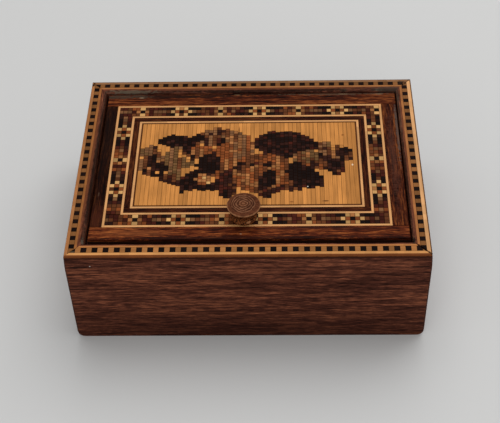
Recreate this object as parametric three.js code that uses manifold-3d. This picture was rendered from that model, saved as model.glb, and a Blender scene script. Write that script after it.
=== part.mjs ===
// Rosewood trinket box with a lift-off lid of tunbridge ware mosaic.
// Millimetres, +Z up, front towards -Y, origin at the centre of the underside.

import * as THREE from "three";
import { mergeVertices } from "three/addons/utils/BufferGeometryUtils.js";
import Module from "manifold-3d";

const wasm = await Module();
wasm.setup();

// Box
const LENGTH = 108;
const DEPTH = 80;
const RIM_Z = 37;
const WALL = 8.5;
const BASE_THICKNESS = 4;

// Rim: an upright lip stands on the outer part of each wall, and the lid rests on the ledge inside it
const LIP = 5.5;
const LIP_BEVEL = 0.6;
const LEDGE_Z = 32;

// Ends: rounded along the bottom, and eased inward above the ledge
const END_ROUNDING = 2.6;
const END_EASING = 0.35;
const ROUNDING_STEPS = 8;

// Banding let in round the top of the rim, cut by hand to its own width on each side
const BANDING_WIDTH = { front: 4.5, right: 4.3, back: 3.95, left: 3.8 };
const BANDING_THICKNESS = 1;
const BANDING_ARRIS = 0.5;
const ARRIS_STEPS = 4;

// Lid, set towards the back of its recess
const LID_LENGTH = 95.6;
const LID_DEPTH = 66.2;
const LID_THICKNESS = 4;
const LID_X = 0.2;
const LID_Y = 0.9;
const VENEER = 0.8;

// Widths of the veneer strips round the lid, from its edge inward. The border isn't even.
const BORDER = { front: 5.15, right: 4.9, back: 5.65, left: 3.65 };
const STRINGING = 0.75;
const MOSAIC_BAND = 4.45;
const DARK_STRIP = 1.9;

// Knob
const KNOB_X = -1.2;
const KNOB_Y = -23.3;
const KNOB_HEIGHT = 5.5;
const KNOB_TOP_RADIUS = 5.05;
const KNOB_NECK_RADIUS = 3.3;
const KNOB_FOOT_RADIUS = 3.9;
const KNOB_SIDES = 40;

const LID_TOP = LEDGE_Z + LID_THICKNESS;
const VENEER_BED = LID_TOP - VENEER;

function wood(color, roughness) {
  return new THREE.MeshStandardMaterial({ color, roughness, metalness: 0 });
}

const rosewood = () => wood(0x5a3426, 0.45);
const darkRosewood = () => wood(0x2c1712, 0.45);
const lightWood = () => wood(0xd9a468, 0.5);
const plainWood = () => wood(0x7a5138, 0.7);
const mosaicWood = () => wood(0x5c3a28, 0.5);
const pictureWood = () => wood(0xc9965c, 0.5);

const trinketBox = new THREE.Group();

function add(name, geometry, material) {
  const mesh = new THREE.Mesh(geometry, material);
  mesh.name = name;
  trinketBox.add(mesh);
  return mesh;
}

// A rectangular block between two corners
function block(low, high) {
  const geometry = new THREE.BoxGeometry(1, 1, 1);
  const position = geometry.attributes.position;
  const pick = (value, axis) => (value < 0 ? low[axis] : high[axis]);
  for (let i = 0; i < position.count; i++) {
    position.setXYZ(i, pick(position.getX(i), 0), pick(position.getY(i), 1), pick(position.getZ(i), 2));
  }
  return geometry;
}

// Points along a circular arc from one angle to another, in degrees
function arc(centreX, centreY, radius, from, to, steps) {
  return Array.from({ length: steps + 1 }, (_, i) => {
    const angle = THREE.MathUtils.degToRad(from + ((to - from) * i) / steps);
    return [centreX + radius * Math.cos(angle), centreY + radius * Math.sin(angle)];
  });
}

function outline(points) {
  return new THREE.Shape(points.map(([x, y]) => new THREE.Vector2(x, y)));
}

// A strip along one side of the box, mitred at both ends. Its profile is drawn as [distance in from the
// outer face, height], and side is the number of quarter turns from the front: right, back, left.
function mitredStrip(profile, side) {
  const alongEnd = side % 2 === 0;
  const halfAlong = (alongEnd ? LENGTH : DEPTH) / 2;
  const halfAcross = (alongEnd ? DEPTH : LENGTH) / 2;
  const turns = [
    (x, y) => [x, y],
    (x, y) => [-y, x],
    (x, y) => [-x, -y],
    (x, y) => [y, -x],
  ];
  const geometry = new THREE.ExtrudeGeometry(outline(profile), { depth: 1, steps: 1, bevelEnabled: false });
  const position = geometry.attributes.position;
  for (let i = 0; i < position.count; i++) {
    const inward = position.getX(i);
    const height = position.getY(i);
    const end = position.getZ(i) > 0.5 ? 1 : -1;
    const [x, y] = turns[side](end * (halfAlong - inward), inward - halfAcross);
    position.setXYZ(i, x, y, height);
  }
  return geometry;
}

function toSolid(geometry) {
  const plain = geometry.clone();
  plain.deleteAttribute("normal");
  plain.deleteAttribute("uv");
  const merged = mergeVertices(plain);
  return new wasm.Manifold(new wasm.Mesh({
    numProp: 3,
    vertProperties: new Float32Array(merged.attributes.position.array),
    triVerts: new Uint32Array(merged.index.array),
  }));
}

function toGeometry(solid) {
  const mesh = solid.getMesh();
  const geometry = new THREE.BufferGeometry();
  geometry.setAttribute("position", new THREE.BufferAttribute(new Float32Array(mesh.vertProperties), 3));
  geometry.setIndex(new THREE.BufferAttribute(new Uint32Array(mesh.triVerts), 1));
  geometry.computeVertexNormals();
  return geometry;
}

// The box's outer form seen from the front, run from front to back
function outerForm() {
  const half = LENGTH / 2;
  const inset = half - END_ROUNDING;
  const points = [
    ...arc(inset, END_ROUNDING, END_ROUNDING, -90, 0, ROUNDING_STEPS),
    [half, LEDGE_Z],
    [half - END_EASING, RIM_Z],
    [END_EASING - half, RIM_Z],
    [-half, LEDGE_Z],
    ...arc(-inset, END_ROUNDING, END_ROUNDING, 180, 270, ROUNDING_STEPS),
  ];
  const geometry = new THREE.ExtrudeGeometry(outline(points), { depth: DEPTH, bevelEnabled: false });
  geometry.rotateX(Math.PI / 2);
  geometry.translate(0, DEPTH / 2, 0);
  return toSolid(geometry);
}

const wallProfile = (banding) => [
  [0, 0],
  [WALL, 0],
  [WALL, LEDGE_Z],
  [LIP, LEDGE_Z],
  [LIP, RIM_Z - LIP_BEVEL],
  [LIP - LIP_BEVEL, RIM_Z],
  [banding, RIM_Z],
  [banding, RIM_Z - BANDING_THICKNESS],
  [0, RIM_Z - BANDING_THICKNESS],
];

const bandingProfile = (banding) => [
  [0, RIM_Z - BANDING_THICKNESS],
  [banding, RIM_Z - BANDING_THICKNESS],
  [banding, RIM_Z],
  ...arc(BANDING_ARRIS, RIM_Z - BANDING_ARRIS, BANDING_ARRIS, 90, 180, ARRIS_STEPS),
];

function makeBox() {
  const halfX = LENGTH / 2 - WALL;
  const halfY = DEPTH / 2 - WALL;
  add("base_board", block([-halfX, -halfY, 0], [halfX, halfY, BASE_THICKNESS]), plainWood());

  const form = outerForm();
  const shaped = (profile, side) => toGeometry(toSolid(mitredStrip(profile, side)).intersect(form));
  const boards = ["front_board", "right_end_board", "back_board", "left_end_board"];
  Object.entries(BANDING_WIDTH).forEach(([name, width], side) => {
    add(boards[side], shaped(wallProfile(width), side), rosewood());
    add(`${name}_edge_banding`, shaped(bandingProfile(width), side), lightWood());
  });
}

// A block over the whole of a rectangle on the lid
function panel(area, low, high) {
  return block([area.left, area.front, low], [area.right, area.back, high]);
}

// Four strips between two rectangles on the lid, butted at the corners.
// The longer pair is either front and back or left and right.
function frameOfStrips(name, outer, inner, longerPair, material) {
  const across = longerPair === "front_back" ? outer : inner;
  const down = longerPair === "front_back" ? inner : outer;
  const strips = {
    front: { left: across.left, right: across.right, front: outer.front, back: inner.front },
    back: { left: across.left, right: across.right, front: inner.back, back: outer.back },
    left: { left: outer.left, right: inner.left, front: down.front, back: down.back },
    right: { left: inner.right, right: outer.right, front: down.front, back: down.back },
  };
  for (const [side, area] of Object.entries(strips)) {
    add(`${name}_${side}`, panel(area, VENEER_BED, LID_TOP), material());
  }
}

function makeLid() {
  const edge = {
    left: LID_X - LID_LENGTH / 2,
    right: LID_X + LID_LENGTH / 2,
    front: LID_Y - LID_DEPTH / 2,
    back: LID_Y + LID_DEPTH / 2,
  };
  add("lid_board", panel(edge, LEDGE_Z, VENEER_BED), plainWood());

  const even = (width) => ({ front: width, right: width, back: width, left: width });
  const rings = [
    { name: "lid_border", width: BORDER, longer: "front_back", material: rosewood },
    { name: "outer_stringing", width: even(STRINGING), longer: "left_right", material: lightWood },
    { name: "mosaic_band", width: even(MOSAIC_BAND), longer: "front_back", material: mosaicWood },
    { name: "middle_stringing", width: even(STRINGING), longer: "front_back", material: lightWood },
    { name: "dark_strip", width: even(DARK_STRIP), longer: "front_back", material: darkRosewood },
    { name: "inner_stringing", width: even(STRINGING), longer: "front_back", material: lightWood },
  ];
  let outer = edge;
  for (const { name, width, longer, material } of rings) {
    const inner = {
      left: outer.left + width.left,
      right: outer.right - width.right,
      front: outer.front + width.front,
      back: outer.back - width.back,
    };
    frameOfStrips(name, outer, inner, longer, material);
    outer = inner;
  }
  add("mosaic_picture", panel(outer, VENEER_BED, LID_TOP), pictureWood());
}

// The knob is turned: a foot with a bead, a narrow neck, and a broad flat button
function makeKnob() {
  const bead = 0.6;
  const buttonEdge = 0.35;
  const neckZ = 2.2;
  const hollow = 1.5;
  const profile = [
    [0, 0],
    [KNOB_FOOT_RADIUS - bead, 0],
    ...arc(KNOB_FOOT_RADIUS - bead, bead, bead, -60, 60, 6),
    [KNOB_NECK_RADIUS, neckZ - bead],
    ...arc(KNOB_NECK_RADIUS + hollow, neckZ, hollow, 180, 100, 6),
    ...arc(KNOB_TOP_RADIUS - buttonEdge, KNOB_HEIGHT - buttonEdge, buttonEdge, -70, 90, 7),
    [0, KNOB_HEIGHT],
  ];
  const geometry = new THREE.LatheGeometry(profile.map(([r, z]) => new THREE.Vector2(r, z)), KNOB_SIDES);
  geometry.rotateX(Math.PI / 2);
  const knob = add("knob", geometry, rosewood());
  knob.position.set(KNOB_X, KNOB_Y, LID_TOP);
}

makeBox();
makeLid();
makeKnob();

export default trinketBox;
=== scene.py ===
"""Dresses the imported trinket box: rosewood walls, light lines, dotted banding, mosaic and a turned knob."""

import math
import random

import bmesh
import bpy
from bpy.props import FloatProperty, FloatVectorProperty, IntProperty, PointerProperty
from bpy.types import Operator, Panel, PropertyGroup
from mathutils import Euler, Matrix, Vector, noise


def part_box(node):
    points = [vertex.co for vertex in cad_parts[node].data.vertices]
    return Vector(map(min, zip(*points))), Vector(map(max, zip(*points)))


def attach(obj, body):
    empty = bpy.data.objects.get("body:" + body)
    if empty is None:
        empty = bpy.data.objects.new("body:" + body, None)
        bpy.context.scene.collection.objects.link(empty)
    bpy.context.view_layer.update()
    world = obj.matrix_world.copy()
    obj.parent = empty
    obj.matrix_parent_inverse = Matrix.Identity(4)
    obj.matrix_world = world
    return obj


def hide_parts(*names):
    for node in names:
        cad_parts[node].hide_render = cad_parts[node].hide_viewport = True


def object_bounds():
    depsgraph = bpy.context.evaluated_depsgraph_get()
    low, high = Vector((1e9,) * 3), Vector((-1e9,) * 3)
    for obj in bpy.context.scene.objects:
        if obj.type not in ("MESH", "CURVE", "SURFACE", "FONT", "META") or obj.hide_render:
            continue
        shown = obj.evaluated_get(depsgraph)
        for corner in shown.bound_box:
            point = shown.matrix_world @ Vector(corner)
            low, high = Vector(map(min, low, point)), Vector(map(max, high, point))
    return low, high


bl_info = {
    "name": "Mosaic Trinket Box",
    "version": (1, 0, 0),
    "blender": (4, 5, 0),
    "location": "3D View > Sidebar > Trinket Box",
    "description": "Builds the woods of a small mosaic trinket box round its packed solids",
    "category": "Add Mesh",
}

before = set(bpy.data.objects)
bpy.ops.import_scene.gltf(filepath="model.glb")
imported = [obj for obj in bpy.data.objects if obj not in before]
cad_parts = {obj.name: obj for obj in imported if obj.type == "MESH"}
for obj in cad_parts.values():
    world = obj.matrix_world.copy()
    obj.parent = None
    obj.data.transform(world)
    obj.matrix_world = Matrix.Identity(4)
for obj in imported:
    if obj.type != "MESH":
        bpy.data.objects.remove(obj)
CAD_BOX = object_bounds()

MM = 0.001
# Places nearer than these, in metres, are taken as one when a mesh is cut or merged
CUT_REACH = 1e-7
TOUCHING = 1e-6

# Each side of the box: the axis it runs along, the axis across it, and which way it faces
SIDES = {
    "front": (0, 1, -1),
    "right": (1, 0, 1),
    "back": (0, 1, 1),
    "left": (1, 0, -1),
}
WALL_NODES = {
    "front": "front_board",
    "right": "right_end_board",
    "back": "back_board",
    "left": "left_end_board",
}

RIM_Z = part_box("front_edge_banding")[1].z
TONE = "wood_tone"


def colour(red, green, blue):
    """A colour written as it looks on a screen, 0 to 255, in the linear values that a shader takes."""
    def linear(value):
        value /= 255
        return value / 12.92 if value <= 0.04045 else ((value + 0.055) / 1.055) ** 2.4
    return (linear(red), linear(green), linear(blue))


def length_property(name, description, millimetres):
    return FloatProperty(
        name=name, description=description, default=millimetres * MM, min=0, unit="LENGTH", precision=5)


def part_property(name, description, part):
    return FloatProperty(name=name, description=description, default=part, min=0, max=1)


def colour_property(name, description, red, green, blue):
    return FloatVectorProperty(
        name=name, description=description, default=colour(red, green, blue), size=3, min=0, max=1,
        subtype="COLOR")


class TrinketSizes(PropertyGroup):
    """Sizes of the fine work."""
    corner: length_property("Corner", "Width of the chamfer worn on the upright corners", 0.35)
    board_edge: length_property("Board Edge", "Width of the worn edge of a board", 0.25)
    strip_edge: length_property("Strip Edge", "Width of the worn edge of a veneer strip", 0.07)
    joint: length_property("Joint", "Half the width of the glue line round a tessera", 0.095)
    relief: length_property("Relief", "How deep a glue line lies below the wood", 0.04)
    square: length_property("Square", "Length of a dark square in the edge banding", 1.6)
    slip: length_property("Slip", "Width of one upright slip of the picture", 1.36)
    row: length_property("Row", "Height of one tessera of the picture", 1.27)
    picture_line: length_property("Picture Line", "Width of the dark line round the picture", 0.45)
    lip: length_property("Lip", "Thickness of the rim at its top", 5.5)
    slope: length_property("Slope", "Width of the slope along the rim's inner edge", 0.6)
    ring_depth: length_property("Ring Depth", "Depth of the rings turned in the knob", 0.05)
    ring_pitch: length_property("Ring Pitch", "Distance between the knob's rings", 0.78)
    ringed: part_property("Ringed", "Part of the knob's radius that carries rings", 0.8)
    knob_foot: part_property("Knob Foot", "Radius of the knob's foot beside its button", 0.772)
    knob_neck: part_property("Knob Neck", "Radius of the knob's neck beside its button", 0.653)
    knob_bead: length_property("Knob Bead", "Half the height of the bead round the knob's foot", 0.6)
    knob_rim: length_property("Knob Rim", "Radius of the button's worn edge", 0.35)
    slip_joint: length_property("Slip Joint", "Half the width of the joint between ground slips", 0.065)
    turning_steps: IntProperty(
        name="Turning Steps", description="Steps in one full turn of the knob", default=96, min=24)
    seed: IntProperty(name="Seed", description="Start of every random choice of wood", default=7, min=0)


class TrinketColours(PropertyGroup):
    """Colours of the woods."""
    wall_dark: colour_property("Wall Dark", "Dark streaks of the walls", 42, 20, 15)
    wall: colour_property("Wall", "Body of the walls' rosewood", 91, 50, 37)
    wall_light: colour_property("Wall Light", "Light streaks of the walls", 142, 84, 58)
    lid_dark: colour_property("Lid Dark", "Dark streaks of the lid's border", 34, 12, 8)
    lid: colour_property("Lid", "Body of the rosewood of the lid's border", 88, 36, 17)
    lid_light: colour_property("Lid Light", "Light streaks of the lid's border", 146, 80, 38)
    line: colour_property("Line", "Light stringing of the lid", 208, 152, 98)
    between: colour_property("Between", "Squares between the dark squares", 158, 104, 58)
    satinwood: colour_property("Satinwood", "Ground of the picture", 194, 129, 66)
    holly: colour_property("Holly", "Lightest tesserae", 202, 154, 96)
    cherry: colour_property("Cherry", "Tan tesserae", 158, 102, 58)
    padouk: colour_property("Padouk", "Orange brown tesserae", 132, 70, 34)
    walnut: colour_property("Walnut", "Middle brown tesserae", 98, 55, 30)
    green_oak: colour_property("Green Oak", "Olive tesserae", 106, 75, 44)
    harewood: colour_property("Harewood", "Grey brown tesserae", 122, 82, 52)
    purplewood: colour_property("Purplewood", "Dark red tesserae", 70, 28, 18)
    dark_brown: colour_property("Dark Brown", "Dark brown tesserae", 47, 23, 17)
    bog_oak: colour_property("Bog Oak", "Nearly black tesserae", 24, 12, 9)
    glue: colour_property("Glue", "Glue lines between the tesserae", 50, 24, 10)
    dust: colour_property("Dust", "Grey dust and bare worn fibres", 84, 72, 58)
    turned: colour_property("Turned", "Dark rings of the knob", 72, 38, 22)
    turned_red: colour_property("Turned Red", "Redder parts of the knob", 100, 56, 34)
    turned_heart: colour_property("Turned Heart", "Middle of the knob", 122, 72, 44)
    turned_light: colour_property("Turned Light", "Light rings of the knob", 132, 90, 64)
    # Turned Edge paints the knob's pale rim: partly worn wood, partly a painted highlight on the rounded rim
    turned_edge: colour_property("Turned Edge", "Worn edge of the knob", 156, 108, 74)
    turned_worn: colour_property("Turned Worn", "Worn wood under the knob's button", 140, 80, 42)
    carcass: colour_property("Carcass", "Plain wood of the bottom board", 112, 74, 50)
    # Lid Core is darkened, partly as a stain and partly as painted shade, so that the wood seen in the gap
    # round the lid reads black
    stained_and_shaded_lid_core: colour_property("Lid Core", "Dirty plain wood under the lid's veneers", 58, 34, 24)
    floor: colour_property("Floor", "Plain pale floor", 205, 205, 204)


class TrinketStage(PropertyGroup):
    """Camera and light."""
    camera_place: FloatVectorProperty(
        name="Camera Place", description="Where the camera stands", size=3, subtype="TRANSLATION",
        default=(0.01013803, -0.2656266, 0.28755536))
    camera_turn: FloatVectorProperty(
        name="Camera Turn", description="How the camera is turned", size=3, subtype="EULER",
        default=(math.radians(44.21434), math.radians(1.39840), math.radians(0.81199)))
    lens: FloatProperty(name="Lens", description="Focal length in millimetres", default=83.641, min=10)
    world_light: FloatProperty(name="World Light", description="Strength of the even light", default=0.46)
    key_light: FloatProperty(
        name="Key Light", description="Power of the soft light over the box", default=4.9, unit="POWER")
    fill_light: FloatProperty(
        name="Fill Light", description="Power of the soft light in front", default=1.3, unit="POWER")


def sizes():
    return bpy.context.scene.trinket_sizes


def colours():
    return bpy.context.scene.trinket_colours


# Shaping

def unit(axis):
    """A vector of length 1 along one axis."""
    direction = Vector((0, 0, 0))
    direction[axis] = 1
    return direction


def new_shape():
    """An empty mesh with a layer for the colours of its woods."""
    bm = bmesh.new()
    bm.loops.layers.float_color.new(TONE)
    return bm


def block(bm, low, high):
    """A closed rectangular block between two corners."""
    middle = (Vector(low) + Vector(high)) / 2
    spread = Vector(high) - Vector(low)
    matrix = Matrix.Translation(middle) @ Matrix.Diagonal(spread).to_4x4()
    return bmesh.ops.create_cube(bm, size=1, matrix=matrix)["verts"]


def everything(bm):
    return bm.verts[:] + bm.edges[:] + bm.faces[:]


def cut(bm, point, direction):
    """Cuts every face along a plane and keeps both sides."""
    bmesh.ops.bisect_plane(
        bm, geom=everything(bm), dist=CUT_REACH, plane_co=point, plane_no=direction)


def cut_across(bm, axis, place):
    """Cuts every face at one place along an axis."""
    cut(bm, unit(axis) * place, unit(axis))


def trim(bm, point, outward):
    """Cuts away what lies beyond a plane and closes the cut."""
    made = bmesh.ops.bisect_plane(
        bm, geom=everything(bm), dist=CUT_REACH, plane_co=point, plane_no=outward, clear_outer=True)
    rim = [item for item in made["geom_cut"] if isinstance(item, bmesh.types.BMEdge)]
    if rim:
        bmesh.ops.holes_fill(bm, edges=rim, sides=0)


def bevel(bm, edges, width):
    bmesh.ops.bevel(
        bm, geom=edges, offset=width, segments=2, profile=0.5, affect="EDGES", material=-1)


def copy_of_node(node):
    """The node's solid as clean flat faces."""
    bm = bmesh.new()
    bm.from_mesh(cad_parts[node].data)
    bmesh.ops.remove_doubles(bm, verts=bm.verts, dist=TOUCHING)
    bmesh.ops.dissolve_limit(bm, angle_limit=math.radians(1), verts=bm.verts, edges=bm.edges)
    bm.loops.layers.float_color.new(TONE)
    return bm


def merge_into(bm, other):
    """Adds another mesh to this one and lets go of it."""
    mesh = bpy.data.meshes.new("merged")
    other.to_mesh(mesh)
    other.free()
    bm.from_mesh(mesh)
    bpy.data.meshes.remove(mesh)


def grain_of(side):
    """The axis that a side's grain runs along."""
    return "XY"[SIDES[side][0]]


def outer_face(side):
    """Where the outer face of a side stands on the axis across it."""
    _, across, facing = SIDES[side]
    return CAD_BOX[1 if facing > 0 else 0][across]


def facing_out(side):
    _, across, facing = SIDES[side]
    return unit(across) * facing


def inward(side, place):
    """How far a point lies in from the outer face of a side."""
    _, across, facing = SIDES[side]
    return (outer_face(side) - place[across]) * facing


def point_in(side, distance, along=0.0, height=0.0):
    """A point that lies a distance in from a side's outer face."""
    axis, across, facing = SIDES[side]
    place = Vector((0, 0, height))
    place[axis] = along
    place[across] = outer_face(side) - facing * distance
    return place


def corner_planes(side, turn):
    """The upright planes at 45 degrees through both corners of a side, which face out of the box where
    turn is 1 and along the mitre where it is -1."""
    axis, across, facing = SIDES[side]
    for end in (-1, 1):
        corner = point_in(side, 0, end * CAD_BOX[1][axis])
        direction = unit(axis) * end
        direction[across] = turn * facing
        yield end, corner, direction.normalized()


def round_corners(bm, side):
    """Takes the sharp corner off both upright ends of a side."""
    for _, corner, direction in corner_planes(side, 1):
        trim(bm, corner - direction * sizes().corner / math.sqrt(2), direction)


# Painting

def paint(bm, faces, tone, polish=1.0):
    """Gives faces the colour of their wood. Polish is 1 on wood and 0 in a glue line."""
    layer = bm.loops.layers.float_color[TONE]
    for face in faces:
        for loop in face.loops:
            loop[layer] = (*tone, polish)


def shade(tone, amount):
    return tuple(min(1.0, value * amount) for value in tone)


def clouded(tone, place, spread, scale):
    """A tone that drifts a little lighter and darker from place to place."""
    return shade(tone, 0.97 + spread * noise.noise(place * scale))


def tessera(bm, low, high, tone):
    """A painted block of wood between two corners. Gives its top face."""
    faces = {face for vert in block(bm, low, high) for face in vert.link_faces}
    paint(bm, faces, tone)
    return max(faces, key=lambda face: face.calc_center_median().z)


def upper_faces(bm):
    bm.normal_update()
    return [face for face in bm.faces if face.normal.z > 0.9]


def with_joints(bm, tops, width, rng, own=0.2, glue=0.25):
    """Sinks a glue line round each top face, of so much of its own wood's colour and of the glue's, and
    lets the tops lie a little unevenly."""
    layer = bm.loops.layers.float_color[TONE]
    ring = bmesh.ops.inset_individual(bm, faces=tops, thickness=width, use_even_offset=True)["faces"]
    for face in ring:
        for loop in face.loops:
            tone = Vector(loop[layer][:3]) * own + Vector(colours().glue) * glue
            loop[layer] = (*tone, 0.0)
    for face in tops:
        lift = sizes().relief * rng.uniform(0.55, 1.0)
        bmesh.ops.translate(bm, verts=face.verts, vec=(0, 0, lift))


def finish_piece(bm, name, nodes, material, smooth=False):
    """Makes the mesh an object that rides with the box and stands for its solids."""
    bm.normal_update()
    mesh = bpy.data.meshes.new(name)
    bm.to_mesh(mesh)
    bm.free()
    mesh.materials.append(material)
    if smooth:
        mesh.shade_smooth()
    piece = bpy.data.objects.new(name, mesh)
    bpy.context.scene.collection.objects.link(piece)
    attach(piece, "root")
    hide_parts(*nodes)


# Shader nodes

def feed(tree, socket, value):
    """Links a socket to the one that it is given, or else sets its own value."""
    if isinstance(value, bpy.types.NodeSocket):
        tree.links.new(value, socket)
    elif socket.type == "RGBA":
        socket.default_value = (*tuple(value)[:3], 1)
    else:
        socket.default_value = value


def add_node(tree, kind, inputs=None, **settings):
    made = tree.nodes.new(kind)
    for key, value in settings.items():
        setattr(made, key, value)
    for key, value in (inputs or {}).items():
        feed(tree, made.inputs[key], value)
    return made


def math_node(tree, operation, first, second=0.0, third=0.0, clamp=False):
    return add_node(
        tree, "ShaderNodeMath", {0: first, 1: second, 2: third},
        operation=operation, use_clamp=clamp).outputs[0]


def vector_math(tree, operation, first, second=(0, 0, 0)):
    made = add_node(tree, "ShaderNodeVectorMath", {0: first, 1: second}, operation=operation)
    return made.outputs["Value" if operation == "LENGTH" else "Vector"]


def mix_colour(tree, factor, first, second, blend="MIX"):
    return add_node(
        tree, "ShaderNodeMix", {0: factor, 6: first, 7: second},
        data_type="RGBA", blend_type=blend).outputs[2]


def brighten(tree, tone, value):
    """A colour times a brightness."""
    grey = add_node(tree, "ShaderNodeCombineXYZ", {0: value, 1: value, 2: value}).outputs[0]
    return mix_colour(tree, 1.0, tone, grey, "MULTIPLY")


def remap(tree, value, low, high, new_low=0.0, new_high=1.0):
    return add_node(
        tree, "ShaderNodeMapRange",
        {0: value, 1: low, 2: high, 3: new_low, 4: new_high}, clamp=True).outputs[0]


def stretched_noise(tree, vector, stretch, detail=3.0, roughness=0.55):
    """Noise with so many spots a millimetre along each axis."""
    placed = vector_math(tree, "MULTIPLY", vector, stretch)
    return add_node(
        tree, "ShaderNodeTexNoise",
        {"Vector": placed, "Scale": 1.0, "Detail": detail, "Roughness": roughness}).outputs["Fac"]


def new_group(name, inputs, outputs):
    """A shader node group, its input sockets and its output node. Sockets are given as kind and name,
    and an input may have a default."""
    tree = bpy.data.node_groups.new(name, "ShaderNodeTree")
    for kind, label, *default in inputs:
        socket = tree.interface.new_socket(label, in_out="INPUT", socket_type=f"NodeSocket{kind}")
        if default:
            socket.default_value = default[0]
    for kind, label in outputs:
        tree.interface.new_socket(label, in_out="OUTPUT", socket_type=f"NodeSocket{kind}")
    return tree, tree.nodes.new("NodeGroupInput").outputs, tree.nodes.new("NodeGroupOutput")


def build_figure(name):
    """Rosewood figure. The vector is in millimetres with the grain along X."""
    tree, given, out = new_group(
        name,
        [("Vector", "Vector"), ("Color", "Dark"), ("Color", "Middle"), ("Color", "Light"),
         ("Float", "Contrast", 1.0)],
        [("Color", "Color"), ("Float", "Height")])
    vector = given["Vector"]
    wander = stretched_noise(tree, vector, (0.02, 0.08, 0.08), 2.0)
    wander = math_node(tree, "MULTIPLY", wander, 2.2)
    offset = add_node(tree, "ShaderNodeCombineXYZ", {"Y": wander, "Z": wander}).outputs[0]
    bent = vector_math(tree, "ADD", vector, offset)
    broad = stretched_noise(tree, bent, (0.012, 0.20, 0.20), 2.0, 0.5)
    streak = stretched_noise(tree, bent, (0.07, 1.05, 1.05), 3.0, 0.6)
    line = stretched_noise(tree, bent, (0.26, 3.1, 3.1), 3.0, 0.7)
    pore = stretched_noise(tree, bent, (0.40, 4.4, 4.4), 2.0, 0.5)
    figure = math_node(tree, "MULTIPLY", broad, 0.20)
    figure = math_node(tree, "MULTIPLY_ADD", streak, 0.52, figure)
    figure = math_node(tree, "MULTIPLY_ADD", line, 0.52, figure)
    spread = math_node(tree, "SUBTRACT", figure, 0.62)
    place = math_node(tree, "MULTIPLY_ADD", spread, given["Contrast"], 0.5)
    base = mix_colour(tree, remap(tree, place, 0.52, 0.36), given["Middle"], given["Dark"])
    base = mix_colour(tree, remap(tree, place, 0.51, 0.67), base, given["Light"])
    base = brighten(tree, base, remap(tree, line, 0.25, 0.75, 0.60, 1.38))
    pore_mask = remap(tree, pore, 0.58, 0.68)
    base = mix_colour(tree, math_node(tree, "MULTIPLY", pore_mask, 0.65), base, given["Dark"])
    feed(tree, out.inputs["Color"], base)
    feed(tree, out.inputs["Height"], math_node(tree, "SUBTRACT", line, pore_mask))
    return tree


def build_fine_grain(name):
    """Fine grain of the light woods and tesserae: a brightness that changes over the surface."""
    tree, given, out = new_group(
        name, [("Vector", "Vector"), ("Float", "Strength", 0.2)],
        [("Float", "Brightness"), ("Float", "Height")])
    streak = stretched_noise(tree, given["Vector"], (0.10, 3.2, 3.2))
    cloud = stretched_noise(tree, given["Vector"], (0.10, 0.14, 0.14), 2.0)
    streak_part = math_node(tree, "MULTIPLY", streak, 0.65)
    cloud_part = math_node(tree, "MULTIPLY", cloud, 0.35)
    both = math_node(tree, "ADD", streak_part, cloud_part)
    spread = math_node(tree, "SUBTRACT", both, 0.5)
    spread = math_node(tree, "MULTIPLY", spread, given["Strength"])
    feed(tree, out.inputs["Brightness"], math_node(tree, "MULTIPLY_ADD", spread, 4.0, 1.0))
    feed(tree, out.inputs["Height"], streak)
    return tree


def build_smudge(name):
    """A soft spot with a ragged edge: 1 at its centre and 0 beyond its reach, all in millimetres."""
    tree, given, out = new_group(
        name,
        [("Vector", "Vector"), ("Vector", "Centre"), ("Vector", "Reach", (1, 1, 1)),
         ("Float", "Raggedness", 0.4), ("Float", "Softness", 0.35)],
        [("Float", "Mask")])
    away = vector_math(tree, "SUBTRACT", given["Vector"], given["Centre"])
    far = vector_math(tree, "LENGTH", vector_math(tree, "DIVIDE", away, given["Reach"]))
    ragged = stretched_noise(tree, given["Vector"], (0.8, 1.6, 1.6))
    ragged = math_node(tree, "SUBTRACT", ragged, 0.5)
    ragged = math_node(tree, "MULTIPLY", ragged, given["Raggedness"])
    inside = math_node(tree, "SUBTRACT", 1.0, math_node(tree, "MULTIPLY_ADD", ragged, 4.0, far))
    mask = math_node(tree, "DIVIDE", inside, given["Softness"], clamp=True)
    feed(tree, out.inputs["Mask"], mask)
    return tree


GROUPS = {"rosewood_figure": build_figure, "fine_grain": build_fine_grain, "smudge": build_smudge}


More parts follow.
